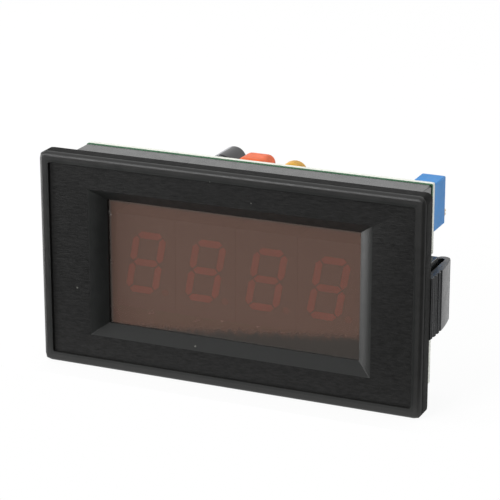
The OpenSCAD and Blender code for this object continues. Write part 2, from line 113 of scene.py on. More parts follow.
def objectSpace(tree, period, centre=(0, 0, 0)):
    # coordinates counted in periods; the period along each axis and the centre are in mm
    coordinates = tree.nodes.new("ShaderNodeTexCoord")
    mapping = tree.nodes.new("ShaderNodeMapping")
    mapping.inputs["Scale"].default_value = [1 / (size * mm) for size in period]
    mapping.inputs["Location"].default_value = [-c / size for c, size in zip(centre, period)]
    tree.links.new(coordinates.outputs["Object"], mapping.inputs["Vector"])
    return mapping.outputs["Vector"]


def addNoise(tree, period, detail=3.0, roughness=0.5):
    noise = addNode(tree, "ShaderNodeTexNoise", Scale=1.0, Detail=detail, Roughness=roughness)
    tree.links.new(objectSpace(tree, period), noise.inputs["Vector"])
    return noise.outputs["Fac"]


def addRamp(tree, factor, *stops):
    # two stops, each a place and a colour
    ramp = tree.nodes.new("ShaderNodeValToRGB")
    for element, (place, color) in zip(ramp.color_ramp.elements, stops):
        element.position = place
        element.color = (*color, 1)
    tree.links.new(factor, ramp.inputs["Fac"])
    return ramp.outputs["Color"]


def grey(value):
    return (value, value, value)


def shade(color, factor):
    return tuple(c * factor for c in color)


def addMath(tree, operation, *values):
    node = tree.nodes.new("ShaderNodeMath")
    node.operation = operation
    for socket, value in zip(node.inputs, values):
        if isinstance(value, (int, float)):
            socket.default_value = value
        else:
            tree.links.new(value, socket)
    return node.outputs[0]


def axesOf(tree, vector):
    split = tree.nodes.new("ShaderNodeSeparateXYZ")
    tree.links.new(vector, split.inputs[0])
    return split.outputs[0], split.outputs[1], split.outputs[2]


def smoothStep(tree, value, low, high, top=1.0, bottom=0.0):
    step = tree.nodes.new("ShaderNodeMapRange")
    step.interpolation_type = "SMOOTHSTEP"
    step.inputs["From Min"].default_value = low
    step.inputs["From Max"].default_value = high
    step.inputs["To Min"].default_value = bottom
    step.inputs["To Max"].default_value = top
    tree.links.new(value, step.inputs["Value"])
    return step.outputs["Result"]


def overlay(tree, shader, mask, color):
    # puts a colour over the one that the shader already has
    target = shader.inputs["Base Color"]
    mix = tree.nodes.new("ShaderNodeMix")
    mix.data_type = "RGBA"
    tree.links.new(target.links[0].from_socket, mix.inputs[6])
    mix.inputs[7].default_value = (*color, 1)
    tree.links.new(mask, mix.inputs[0])
    tree.links.new(mix.outputs[2], target)


def addBump(tree, shader, height, depth):
    # one relief over the last, its depth in mm
    bump = addNode(tree, "ShaderNodeBump", Strength=1.0, Distance=depth * mm)
    tree.links.new(height, bump.inputs["Height"])
    previous = shader.inputs["Normal"].links
    if previous:
        tree.links.new(previous[0].from_socket, bump.inputs["Normal"])
    tree.links.new(bump.outputs["Normal"], shader.inputs["Normal"])


def varyColor(tree, shader, color, period, spread, detail=2.0):
    # the colour drifts by spread either way about its middle
    noise = addNoise(tree, period, detail)
    ramp = addRamp(tree, noise, (0.3, shade(color, 1 - spread)), (0.7, shade(color, 1 + spread)))
    tree.links.new(ramp, shader.inputs["Base Color"])


def varyRoughness(tree, shader, low, high, period):
    ramp = addRamp(tree, addNoise(tree, period), (0.3, grey(low)), (0.7, grey(high)))
    tree.links.new(ramp, shader.inputs["Roughness"])


def addSpecks(tree, shader, color, cell=4.0, size=0.05, share=0.3):
    # a few pale specks of dust
    cells = addNode(tree, "ShaderNodeTexVoronoi", Scale=1.0)
    tree.links.new(objectSpace(tree, (cell, cell, cell)), cells.inputs["Vector"])
    near = addMath(tree, "LESS_THAN", cells.outputs["Distance"], size)
    chosen = addMath(tree, "LESS_THAN", axesOf(tree, cells.outputs["Color"])[0], share)
    overlay(tree, shader, addMath(tree, "MULTIPLY", near, chosen), color)


# Materials

def mouldedPlastic(name, color, roughness, grain=0.004, specular=0.5):
    material, tree, shader = newMaterial(name, color, roughness, **{"Specular IOR Level": specular})
    varyColor(tree, shader, color, (6, 6, 6), 0.08)
    varyRoughness(tree, shader, roughness - 0.05, roughness + 0.05, (1.5, 1.5, 1.5))
    addBump(tree, shader, addNoise(tree, (0.12, 0.12, 0.12), 2.0), grain)
    return material


# one black plastic in several copies: the base colours differ as painted light and shade, the rim
# and flange sides painted lighter and the slope in the window recess darker; the roughness, gloss
# and grain of each are its real finish
blackValues = {
    "case": (0.0112, 0.0118, 0.0115),
    "slope": (0.0088, 0.0096, 0.0091),
    "side": (0.014, 0.014, 0.0135),
    "face": (0.0114, 0.0114, 0.0112),
    "rim": (0.0165, 0.0165, 0.016),
    "wrinkle": (1.1, 1.0, 0.28),
    "wrinkleDepth": 0.05,
    "wrinkleShades": (0.55, 1.5),
    "speck": (0.12, 0.12, 0.11),
}


def grainedFace():
    # fine wrinkles that run along the width of the face
    values = blackValues
    color = values["face"]
    material, tree, shader = newMaterial("grainedBlack", color, 0.5, **{"Specular IOR Level": 0.17})
    wrinkle = addNoise(tree, values["wrinkle"], 4.0, 0.62)
    dark, pale = values["wrinkleShades"]
    ramp = addRamp(tree, wrinkle, (0.32, shade(color, dark)), (0.68, shade(color, pale)))
    tree.links.new(ramp, shader.inputs["Base Color"])
    varyRoughness(tree, shader, 0.42, 0.6, (2, 2, 0.5))
    addBump(tree, shader, wrinkle, values["wrinkleDepth"])
    addBump(tree, shader, addNoise(tree, (0.25, 0.25, 0.1), 2.0), 0.01)
    addSpecks(tree, shader, values["speck"])
    return material


def mouldedBlack(name, color, roughness, specular, grain):
    material = mouldedPlastic(name, color, roughness, grain, specular)
    tree = material.node_tree
    addSpecks(tree, tree.nodes["Principled BSDF"], blackValues["speck"])
    return material


filterValues = {
    "color": (0.18, 0.108, 0.084),
    "alpha": 0.52,  # of each of its two faces
    "reflectionAlpha": 0.46,  # what the painted reflection adds to it
    "roughness": 0.3,
    # grey of the painted dark reflection over the lower right
    "paintedReflection": (0.038, 0.038, 0.035),
    "reflectionRise": 0.1,
    "reflectionStart": -20.0,
    "reflectionEdge": (-0.9, 1.3),
    "reflectionRagged": 2.6,
    "reflectionShare": 0.9,
    # pale colour of the painted highlight along the left and top, also used for the dust specks
    "highlightAndSpeckColor": (0.15, 0.14, 0.13),
    "highlightShare": 0.75,
    "highlightWidth": (0.1, 0.8),
    "window": (26.1, 12.6),
}


def tintedFilter():
    values = filterValues
    material, tree, shader = newMaterial("tintedAcrylic", values["color"], values["roughness"])
    varyColor(tree, shader, values["color"], (0.9, 1, 5), 0.035, 4.0)
    x, _, z = axesOf(tree, objectSpace(tree, (1, 1, 1)))
    # a painted reflection of a dark thing: a grey wedge that grows towards the lower right
    fromStart = addMath(tree, "SUBTRACT", x, values["reflectionStart"])
    line = addMath(tree, "MULTIPLY", fromStart, values["reflectionRise"])
    height = addMath(tree, "SUBTRACT", line, addMath(tree, "ADD", z, values["window"][1]))
    uneven = addMath(tree, "SUBTRACT", addNoise(tree, (1.1, 1, 1.5), 4.0), 0.5)
    ragged = addMath(tree, "MULTIPLY", uneven, values["reflectionRagged"])
    low, high = values["reflectionEdge"]
    paintedReflection = smoothStep(tree, addMath(tree, "ADD", height, ragged), low, high, values["reflectionShare"])
    overlay(tree, shader, paintedReflection, values["paintedReflection"])
    alpha = addMath(tree, "MULTIPLY_ADD", paintedReflection, values["reflectionAlpha"], values["alpha"])
    tree.links.new(alpha, shader.inputs["Alpha"])
    # a painted highlight: a paler line where the filter meets the lip at the left and the top
    fromLeft = addMath(tree, "ADD", x, values["window"][0])
    fromTop = addMath(tree, "SUBTRACT", values["window"][1], z)
    nearest = addMath(tree, "MINIMUM", fromLeft, fromTop)
    low, high = values["highlightWidth"]
    share = values["highlightShare"]
    paintedHighlight = addMath(tree, "SUBTRACT", share, smoothStep(tree, nearest, low, high, share))
    overlay(tree, shader, paintedHighlight, values["highlightAndSpeckColor"])
    addBump(tree, shader, addNoise(tree, (0.6, 0.6, 0.9), 3.0), 0.0012)
    addSpecks(tree, shader, values["highlightAndSpeckColor"], 3.0, 0.04, 0.4)
    return material


def glossyResin(name, color, roughness=0.4, drift=0.14):
    material, tree, shader = newMaterial(name, color, roughness, **{"Specular IOR Level": 0.2})
    varyColor(tree, shader, color, (1.2, 1.2, 1.2), drift)
    addBump(tree, shader, addNoise(tree, (1.2, 1.2, 1.2), 2.0), 0.05)
    addBump(tree, shader, addNoise(tree, (0.25, 0.25, 0.25), 2.0), 0.004)
    return material


def tinnedMetal(name, color, roughness):
    material, tree, shader = newMaterial(name, color, roughness, Metallic=1.0)
    varyColor(tree, shader, color, (1, 1, 1), 0.1)
    varyRoughness(tree, shader, roughness - 0.1, roughness + 0.1, (0.5, 0.5, 0.5))
    addBump(tree, shader, addNoise(tree, (0.3, 0.3, 0.3), 2.0), 0.006)
    return material


boardValues = {
    "mask": (0.02, 0.12, 0.045),
    "track": (0.045, 0.2, 0.075),
    "core": (0.88, 0.9, 0.82),
    "greenBandWidth": 0.6,  # width of the dark green band along the front of the edge, in mm
    "greenBandFade": 0.1,
    "greenBandRagged": 0.3,
}


def solderMask(name, color):
    # green lacquer, a little uneven over the glass weave
    material, tree, shader = newMaterial(name, color, 0.3, **{"Coat Weight": 0.3})
    varyColor(tree, shader, color, (5, 5, 5), 0.12)
    weave = addNode(tree, "ShaderNodeTexChecker", Scale=1.0)
    tree.links.new(objectSpace(tree, (0.5, 40, 0.5)), weave.inputs["Vector"])
    addBump(tree, shader, weave.outputs["Fac"], 0.002)
    addBump(tree, shader, addNoise(tree, (0.5, 0.5, 0.5), 2.0), 0.004)
    return material


def boardEdge():
    values = boardValues
    material, tree, shader = newMaterial("boardEdge", values["core"], 0.7)
    varyColor(tree, shader, values["core"], (0.3, 3, 0.3), 0.08)
    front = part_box("circuit_board")[0].y / mm
    y = axesOf(tree, objectSpace(tree, (1, 1, 1), (0, front, 0)))[1]
    uneven = addMath(tree, "SUBTRACT", addNoise(tree, (0.8, 2, 0.8)), 0.5)
    ragged = addMath(tree, "MULTIPLY", uneven, values["greenBandRagged"])
    edge = values["greenBandWidth"]
    # the front of the edge takes the mask's dark green
    lacquer = smoothStep(tree, addMath(tree, "ADD", y, ragged), edge, edge - values["greenBandFade"])
    overlay(tree, shader, lacquer, values["mask"])
    addBump(tree, shader, addNoise(tree, (0.1, 0.4, 0.1), 3.0), 0.02)
    return material


def middleOf(node):
    low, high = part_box(node)
    return [(a + b) / 2 / mm for a, b in zip(low, high)]


def bandedBody(name, node, color, roughness, axis, bands):
    # rings of paint round a part that lies along one axis: place and width in mm, colour
    material, tree, shader = newMaterial(name, color, roughness, **{"Specular IOR Level": 0.45})
    varyColor(tree, shader, color, (1.5, 1.5, 1.5), 0.08)
    along = axesOf(tree, objectSpace(tree, (1, 1, 1), middleOf(node)))[axis]
    for place, width, bandColor in bands:
        overlay(tree, shader, addMath(tree, "COMPARE", along, place, width / 2), bandColor)
    addBump(tree, shader, addNoise(tree, (0.7, 0.7, 0.7), 2.0), 0.02)
    return material


canValues = {
    "sleeve": (0.016, 0.016, 0.018),
    "stripeAndHighlight": (0.3, 0.31, 0.33),
    "stripeAndHighlightMiddle": 121,  # degrees round the can
    "stripeAndHighlightHalf": 21,
    "top": (0.55, 0.56, 0.57),
    "score": 0.14,
    "scoreDepth": 0.12,
    "scoreShadeShare": 0.6,
}


def canSleeve():
    # black sleeve with a pale stripe down its upper-left side, partly the printed polarity stripe
    # and partly a painted highlight where light falls
    values = canValues
    material, tree, shader = newMaterial("canSleeve", values["sleeve"], 0.28)
    varyColor(tree, shader, values["sleeve"], (2, 2, 2), 0.1)
    x, _, z = axesOf(tree, objectSpace(tree, (1, 1, 1), middleOf("electrolytic_capacitor")))
    angle = addMath(tree, "DEGREES", addMath(tree, "ARCTAN2", z, x))
    stripeAndHighlight = addMath(tree, "COMPARE", angle, values["stripeAndHighlightMiddle"], values["stripeAndHighlightHalf"])
    overlay(tree, shader, stripeAndHighlight, values["stripeAndHighlight"])
    addBump(tree, shader, addNoise(tree, (0.8, 3, 0.8), 2.0), 0.02)
    return material


def scoredTop():
    # bare aluminium with a cross pressed into it, the cross darkened as painted shade in its
    # grooves
    values = canValues
    material, tree, shader = newMaterial("scoredAluminium", values["top"], 0.35, Metallic=1.0)
    varyColor(tree, shader, values["top"], (0.6, 0.6, 0.6), 0.06)
    x, _, z = axesOf(tree, objectSpace(tree, (1, 1, 1), middleOf("electrolytic_capacitor")))
    nearest = addMath(tree, "MINIMUM", addMath(tree, "ABSOLUTE", x), addMath(tree, "ABSOLUTE", z))
    beside = smoothStep(tree, nearest, values["score"] / 3, values["score"])
    addBump(tree, shader, beside, values["scoreDepth"])
    # painted shade in the grooves of the cross
    share = values["scoreShadeShare"]
    scoreShade = addMath(tree, "SUBTRACT", share, addMath(tree, "MULTIPLY", beside, share))
    overlay(tree, shader, scoreShade, grey(0.12))
    return material


materials = {
    "black": mouldedBlack("mouldedBlack", blackValues["case"], 0.25, 0.8, 0.004),
    "slope": mouldedBlack("slopeBlack", blackValues["slope"], 0.42, 0.41, 0.004),
    "rim": mouldedBlack("rimBlack", blackValues["rim"], 0.42, 0.4, 0.006),
    "matt": mouldedBlack("mattBlack", blackValues["side"], 0.75, 0.06, 0.012),
    "face": grainedFace(),
    "clip": mouldedPlastic("clipNylon", (0.014, 0.0155, 0.018), 0.3),
    "grip": mouldedPlastic("gripNylon", (0.014, 0.0145, 0.016), 0.6, 0.012, 0.12),
    "filter": tintedFilter(),
    "digitBody": mouldedPlastic("digitPlastic", (0.06, 0.058, 0.055), 0.5),
    "lightBar": mouldedPlastic("lightBar", (0.8, 0.07, 0.05), 0.45),
    "lightPoint": mouldedPlastic("lightPoint", (0.2, 0.055, 0.045), 0.5),
    "tinned": tinnedMetal("tinnedLead", (0.62, 0.62, 0.6), 0.35),
    "solder": tinnedMetal("solder", (0.66, 0.67, 0.68), 0.28),
    "steel": tinnedMetal("zincScrew", (0.55, 0.56, 0.58), 0.3),
    "brass": tinnedMetal("turnedBrass", (0.72, 0.53, 0.24), 0.3),
    "mask": solderMask("solderMask", boardValues["mask"]),
    "track": solderMask("maskOverCopper", boardValues["track"]),
    "boardEdge": boardEdge(),
    "blue": mouldedPlastic("trimmerBlue", (0.02, 0.25, 0.66), 0.45, 0.006, 0.27),
    "sleeve": canSleeve(),
    "canTop": scoredTop(),
    "orange": glossyResin("orangeResin", (0.86, 0.15, 0.04)),
    "yellow": glossyResin("yellowResin", (0.76, 0.4, 0.045)),
    "brown": glossyResin("brownResin", (0.5, 0.2, 0.05)),
    "chip": mouldedPlastic("chipEpoxy", (0.022, 0.022, 0.024), 0.5, 0.01),
}
print("materials ready")


# Helpers for pieces

def copyOfNode(node):
    # the merged mesh of a CAD node, with its flat faces whole again
    mesh = bmesh.new()
    mesh.from_mesh(frame["nodes"][node].data)
    bmesh.ops.remove_doubles(mesh, verts=mesh.verts, dist=0.002 * mm)
    bmesh.ops.dissolve_limit(
        mesh, angle_limit=math.radians(1), use_dissolve_boundaries=False,
        verts=mesh.verts, edges=mesh.edges, delimit={"NORMAL"},
    )
    return mesh


def roundEdges(mesh, width, segments=2, angle=35):
    edges = [
        edge for edge in mesh.edges
        if len(edge.link_faces) == 2 and edge.calc_face_angle(0) > math.radians(angle)
    ]
    bmesh.ops.bevel(
        mesh, geom=edges, offset=width * mm, offset_type="OFFSET", segments=segments,
        profile=0.5, affect="EDGES", clamp_overlap=False, material=-1,
    )


def finishPiece(mesh, name, body, *pieceMaterials, smooth=38):
    data = bpy.data.meshes.new(name)
    mesh.to_mesh(data)
    mesh.free()
    for material in pieceMaterials:
        data.materials.append(material)
    data.shade_smooth()
    data.set_sharp_from_angle(angle=math.radians(smooth))
    piece = bpy.data.objects.new(name, data)
    bpy.context.scene.collection.objects.link(piece)
    weighted = piece.modifiers.new("weightedNormals", "WEIGHTED_NORMAL")
    weighted.keep_sharp = True
    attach(piece, body)
    return piece


def dressNode(node, material):
    slots = frame["nodes"][node].data.materials
    slots.clear()
    slots.append(materials[material])


def standIn(mesh, node, name, body, slotName, *pieceMaterials, smooth=38):
    # the mesh takes the place of a CAD node
    piece = finishPiece(mesh, name, body, *pieceMaterials, smooth=smooth)
    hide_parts(node)


def roundedNode(node, name, body, slotName, width, material):
    mesh = copyOfNode(node)
    roundEdges(mesh, width)
    standIn(mesh, node, name, body, slotName, materials[material])


# Bezel and case

bezelValues = {
    "edge": 0.1, "sharpest": 50, "smooth": 25, "tiny": 0.002,
    "rimWidth": 2.3, "faceStep": 0.5, "stepPlay": 0.05, "facePlay": 0.1, "flange": 4.05,
    "topRound": 0.9, "sideRound": 0.6,
    "window": (29.5, 15.2),
    "cornerFrom": 0.8, "cornerTo": 1.5,
}


def widenCorners(mesh, corner):
    # the flange's corners take a larger radius, seen from the front
    values = bezelValues
    outer, inner = values["cornerTo"] * mm, (values["cornerTo"] - values["cornerFrom"]) * mm
    for normal in ((-1, 0, 0), (1, 0, 0), (0, 0, -1), (0, 0, 1)):
        place = [side * (end - outer) for side, end in zip(normal, corner)]
        bmesh.ops.bisect_plane(
            mesh, geom=mesh.verts[:] + mesh.edges[:] + mesh.faces[:], dist=0.001 * mm,
            plane_co=place, plane_no=normal,
        )
    for vert in mesh.verts:
        along = abs(vert.co.x) - (corner.x - outer)
        up = abs(vert.co.z) - (corner.z - outer)
        if along <= 0 or up <= 0:
            continue
        across = Vector((along, up)).normalized()
        reach = outer / max(across)
        if min(across) * reach > inner:
            middle = across.dot(Vector((inner, inner)))
            reach = middle + math.sqrt(middle ** 2 - 2 * inner ** 2 + (outer - inner) ** 2)
        shrink = 1 - outer / reach
        vert.co.x -= math.copysign(along * shrink, vert.co.x)
        vert.co.z -= math.copysign(up * shrink, vert.co.z)


def addBezel():
    values = bezelValues
    mesh = copyOfNode("bezel_case")
    low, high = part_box("bezel_case")
    widenCorners(mesh, high)
    roundEdges(mesh, values["edge"], angle=values["sharpest"])
    bmesh.ops.dissolve_degenerate(mesh, dist=values["tiny"] * mm, edges=mesh.edges)
    parts = ["black", "face", "matt", "rim", "slope"]
    windowX, windowZ = values["window"]
    for face in mesh.faces:
        middle, normal = face.calc_center_median(), face.normal
        depth = (middle.y - low.y) / mm
        if depth > values["flange"]:
            continue
        fromEdge = min(high.x - abs(middle.x), high.z - abs(middle.z)) / mm
        facesIn = normal.x * middle.x < 0 or normal.z * middle.z < 0
        if normal.y < -0.99 and abs(depth - values["faceStep"]) < values["facePlay"]:
            part = "face"
        elif fromEdge < values["rimWidth"]:
            atStep = depth < values["faceStep"] + values["stepPlay"]
            turned = abs(normal.z) > abs(normal.x)
            rounding = values["topRound"] if turned else values["sideRound"]
            matt = atStep and facesIn and abs(normal.y) < 0.98
            part = "rim" if depth < rounding and not matt else "matt"
        elif abs(middle.x) < windowX * mm and abs(middle.z) < windowZ * mm:
            part = "slope"
        else:
            part = "black"
        face.material_index = parts.index(part)
    standIn(
        mesh, "bezel_case", "bezelAndCase", "meter", "black_abs",
        *[materials[part] for part in parts], smooth=values["smooth"],
    )


addBezel()
print("bezel ready")


# Filter and digits

displayValues = {"edge": 0.05, "barEdge": 0.04, "point": 1.7}


def addBars(digit):
    # the decimal point is a darker red than the seven bars
    values = displayValues
    node = f"digit_{digit}_bars"
    mesh = copyOfNode(node)
    roundEdges(mesh, values["barEdge"], 1)
    low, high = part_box(node)
    for face in mesh.faces:
        middle = face.calc_center_median()
        if middle.x > high.x - values["point"] * mm and middle.z < low.z + values["point"] * mm:
            face.material_index = 1
    standIn(
        mesh, node, f"lightBars{digit}", "meter", "light_bar",
        materials["lightBar"], materials["lightPoint"],
    )


def addDisplay():
    dressNode("display_filter", "filter")
    for digit in range(1, 5):
        roundedNode(
            f"digit_{digit}_body", f"digitBody{digit}", "meter", "digit_plastic",
            displayValues["edge"], "digitBody",
        )
        addBars(digit)
        dressNode(f"digit_{digit}_pins", "tinned")


addDisplay()
print("display ready")


# Circuit board, with its pads, solder and copper tracks

copperValues = {
    "padInner": 0.45, "padOuter": 0.85, "padHeight": 0.04,
    "wireInner": 0.6, "wirePad": 0.61, "wireBore": 0.65, "wireOuter": 1.35, "plateStart": 0.5,
    # radius and height of a solder fillet, from its foot to its top
    "solder": [(0, 0), (0.72, 0), (0.5604, 0.11), (0.426, 0.3025), (0.3, 0.55), (0, 0.55)],
    "trackHeight": 0.035, "signalWidth": 0.35, "supplyWidth": 0.8,
    "sideEdge": 0.8, "topEdge": 0.4,
    "pinRow": 7.62, "pinPitch": 2.54, "firstPin": 13.97,
    "chipEdge": 6.1, "firstLead": 4.0, "leadPitch": 0.8,
    "innerPins": ((0.8, 1.27), (3.2, 3.81)),
}


def addRing(mesh, x, z, inner, outer, low, high, steps=24):
    # a flat ring round an axis along y, all in mm
    corners = [(inner, low), (outer, low), (outer, high), (inner, high)]
    verts = [mesh.verts.new(((x + r) * mm, y * mm, z * mm)) for r, y in corners]
    edges = [mesh.edges.new((verts[n - 1], verts[n])) for n in range(4)]
    bmesh.ops.spin(
        mesh, geom=verts + edges, cent=(x * mm, 0, z * mm), axis=(0, 1, 0),
        angle=math.radians(360), steps=steps, use_merge=True, use_duplicate=False,
    )


def addSolderCone(mesh, x, z, back):
    # a fillet of solder that climbs a pin
    verts = [
        mesh.verts.new(((x + radius) * mm, (back + height) * mm, z * mm))
        for radius, height in copperValues["solder"]
    ]
    edges = [mesh.edges.new(pair) for pair in zip(verts, verts[1:])]
    bmesh.ops.spin(
        mesh, geom=verts + edges, cent=(x * mm, 0, z * mm), axis=(0, 1, 0),
        angle=math.radians(360), steps=14, use_merge=True, use_duplicate=False,
    )


def addTrack(mesh, points, width, back):
    # a strip of copper along points (x, z), with round joints
    thick = copperValues["trackHeight"]
    middle = (back + thick / 2) * mm
    for (x0, z0), (x1, z1) in zip(points, points[1:]):
        length = math.hypot(x1 - x0, z1 - z0)
        turn = Matrix.Rotation(-math.atan2(z1 - z0, x1 - x0), 4, "Y")
        place = Matrix.Translation(((x0 + x1) / 2 * mm, middle, (z0 + z1) / 2 * mm))
        size = Matrix.Diagonal((length * mm, thick * mm, width * mm, 1))
        bmesh.ops.create_cube(mesh, size=1, matrix=place @ turn @ size)
    upright = Matrix.Rotation(math.radians(90), 4, "X")
    for x, z in points:
        # a hair lower than the strips, so that no faces coincide
        place = Matrix.Translation((x * mm, middle - 0.001 * mm, z * mm))
        bmesh.ops.create_cone(
            mesh, cap_ends=True, cap_tris=False, segments=12,
            radius1=width / 2 * mm, radius2=width / 2 * mm,
            depth=thick * mm, matrix=place @ upright,
        )


def centresOf(node):
    # the axis of each separate pin or lead of a node, in mm across the board
    mesh = copyOfNode(node)
    found, taken = [], set()
    for start in mesh.verts:
        if start in taken:
            continue
        group = [start]
        taken.add(start)
        for vert in group:
            for edge in vert.link_edges:
                other = edge.other_vert(vert)
                if other not in taken:
                    taken.add(other)
                    group.append(other)
        deepest = min(vert.co.y for vert in group)
        tip = [vert.co for vert in group if vert.co.y < deepest + 0.01 * mm]
        middle = sum(tip, Vector()) / len(tip)
        found.append((round(middle.x / mm, 3), round(middle.z / mm, 3)))
    mesh.free()
    # from left to right, and from the bottom up where two stand at about the same x
    return sorted(found, key=lambda spot: spot[0] + spot[1] / 1000)


def addBoard():
    values = copperValues
    mesh = copyOfNode("circuit_board")
    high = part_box("circuit_board")[1]
    for face in mesh.faces:
        middle = face.calc_center_median()
        atSide = abs(middle.x) > high.x - values["sideEdge"] * mm
        atTop = abs(middle.z) > high.z - values["topEdge"] * mm
        if abs(face.normal.y) < 0.5:
            face.material_index = 1 if atSide or atTop else 2
    standIn(
        mesh, "circuit_board", "circuitBoard", "meter", "board_laminate",
        materials["mask"], materials["boardEdge"], materials["solder"],
    )


def wireHoles():
    places = [m["pos_m"] for m in frame["record"]["mounts"] if m["name"].startswith("wire_hole")]
    return [(place[0] / mm, place[2] / mm) for place in places]


def finishCopper(mesh, name, material):
    bmesh.ops.recalc_face_normals(mesh, faces=mesh.faces)
    piece = finishPiece(mesh, name, "meter", materials[material])


def addCopper():
    values = copperValues
    low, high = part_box("circuit_board")
    front, back = low.y / mm, high.y / mm
    padTop = back + values["padHeight"]
    parts = ["electrolytic", "film_capacitor", "ceramic_capacitor"]
    parts += ["disc_capacitor_1", "disc_capacitor_2"]
    parts += [f"resistor_{n}" for n in range(1, 6)] + ["diode_1", "diode_2"]
    leads = {part: centresOf(f"{part}_leads") for part in parts}

    pads = bmesh.new()
    for spots in leads.values():
        for x, z in spots:
            addRing(pads, x, z, values["padInner"], values["padOuter"], back, padTop)
    plateStart = front + values["plateStart"]
    for x, z in wireHoles():
        addRing(pads, x, z, values["wirePad"], values["wireOuter"], back, padTop)
        addRing(pads, x, z, values["wireInner"], values["wireBore"], plateStart, back)
    finishCopper(pads, "boardPads", "solder")

    solder = bmesh.new()
    for digit in range(1, 5):
        for x, z in centresOf(f"digit_{digit}_pins"):
            addSolderCone(solder, x, z, back)
    bmesh.ops.remove_doubles(solder, verts=solder.verts, dist=0.001 * mm)
    finishCopper(solder, "solderJoints", "solder")
    return back, leads


def signalTracks():
    # from the chip to the digit pins, in one quarter of the board
    values = copperValues
    row, edge = values["pinRow"], values["chipEdge"]
    routes = []
    for n in range(5):
        lead = values["firstLead"] - values["leadPitch"] * n
        pin = values["firstPin"] + values["pinPitch"] * n
        routes.append([(edge, lead), (pin - row + lead, lead), (pin, row)])
    for lead, pin in values["innerPins"]:
        routes.append([(lead, edge), (lead, row - (pin - lead)), (pin, row)])
    return routes


supplyValues = {
    "lowTurn": -10.4, "highTurn": 9, "sideTurn": 3, "beadRun": 1.2, "rightEnd": 29.9,
    "trimmerTurn": 8.6, "trimmerEnd": (30.6, 10.7),
    "pinGap": 0.6, "lastRun": 1.08, "lastEnd": -6.2,
}


def supplyTracks(leads):
    # between the wire holes, resistors, diodes and capacitors
    values = supplyValues
    holes = sorted(wireHoles())
    wireZ = holes[0][1]
    x0, x1, x2, x4 = [holes[n][0] for n in (0, 1, 2, 4)]
    leftLow, leftHigh = leads["resistor_1"]
    edgeLow = leads["resistor_2"][0]
    rightLow, rightHigh = leads["resistor_3"]
    first, second = leads["resistor_4"]
    third, fourth = leads["resistor_5"]
    diodeLeft, diodeRight = leads["diode_1"]
    sideLow = leads["diode_2"][0]
    discA, discB = leads["disc_capacitor_1"]
    discC, discD = leads["disc_capacitor_2"]
    can = leads["electrolytic"][0]
    bead = leads["ceramic_capacitor"][1]
    rise = abs(x0 - second[0])
    low, high = values["lowTurn"], values["highTurn"]
    run, side = values["beadRun"], values["sideTurn"]
    return [
        [(x0, wireZ), (second[0], wireZ + rise), second],
        [(x4, wireZ), (third[0], wireZ + rise), third],
        [(x1, wireZ), (x1, diodeLeft[1] - abs(diodeLeft[0] - x1)), diodeLeft],
        [(x2, wireZ), (x2, diodeRight[1] - abs(diodeRight[0] - x2)), diodeRight],
        [leftLow, (leftLow[0], first[1] + first[0] - leftLow[0]), first],
        [edgeLow, (edgeLow[0], low), (edgeLow[0] + abs(wireZ - low), wireZ), (x0, wireZ)],
        [leftHigh, (leftHigh[0], high), (leftHigh[0] + discA[1] - high, discA[1]), discA],
        [discB, (can[0] - can[1] + discB[1], discB[1]), can],
        [bead, (bead[0] + run, bead[1]), (bead[0] + run + bead[1] - discC[1], discC[1]), discC],
        [discD, (values["rightEnd"], discD[1])],
        [rightHigh, (rightHigh[0], values["trimmerTurn"]), values["trimmerEnd"]],
        [rightLow, (rightLow[0], fourth[1] + rightLow[0] - fourth[0]), fourth],
        [sideLow, (sideLow[0], wireZ + side), (sideLow[0] - side, wireZ), (x4, wireZ)],
    ]


def lastTrack():
    # from the fourth wire hole, between two pins, to the chip
    x, z = sorted(wireHoles())[3]
    down = -(copperValues["pinRow"] + supplyValues["pinGap"])
    run = supplyValues["lastRun"]
    return [(x, z), (x, down), (x - run, down + run), (x - run, supplyValues["lastEnd"])]


def addTracks(back, leads):
    signalWidth, supplyWidth = copperValues["signalWidth"], copperValues["supplyWidth"]
    tracks = bmesh.new()
    for side in (-1, 1):
        for level in (-1, 1):
            for points in signalTracks():
                mirrored = [(side * x, level * z) for x, z in points]
                addTrack(tracks, mirrored, signalWidth, back)
    for points in supplyTracks(leads):
        addTrack(tracks, points, supplyWidth, back)
    addTrack(tracks, lastTrack(), signalWidth, back)
    finishCopper(tracks, "copperTracks", "track")


addBoard()
addTracks(*addCopper())
print("board ready")


# Parts on the board

partValues = {
    "trimmerEdge": 0.15,
    "chipEdge": 0.02,
    "screwEdge": 0.06,
    "lacquer": (0.62, 0.42, 0.2),
    "glass": (0.5, 0.13, 0.04),
    "brown": (0.09, 0.03, 0.012),
    "dark": (0.012, 0.012, 0.012),
    "red": (0.45, 0.02, 0.01),
    "gold": (0.45, 0.28, 0.05),
    # place along the part from its middle, width, and colour
    "rings": [
        (-2.1, 0.55, "brown"), (-1.1, 0.45, "dark"), (-0.2, 0.45, "red"), (2.1, 0.55, "gold"),
    ],
    "diodeRing": (-1.3, 0.5, "dark"),
    "resistorAxes": (2, 2, 2, 0, 0),
    "diodeAxes": (0, 2),
    "dishRadius": 1.75,
    "dipInset": 0.7,
    "dipRound": 1.7,
    "dipSegments": 8,
}


def addCan():
    mesh = copyOfNode("electrolytic_capacitor")
    low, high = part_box("electrolytic_capacitor")
    x, z = (low.x + high.x) / 2, (low.z + high.z) / 2
    for face in mesh.faces:
        middle = face.calc_center_median()
        inDish = math.hypot(middle.x - x, middle.z - z) < partValues["dishRadius"] * mm
        if face.normal.y > 0.9 and inDish:
            face.material_index = 1
    standIn(
        mesh, "electrolytic_capacitor", "electrolyticCapacitor", "meter", "can_sleeve",
        materials["sleeve"], materials["canTop"],
    )


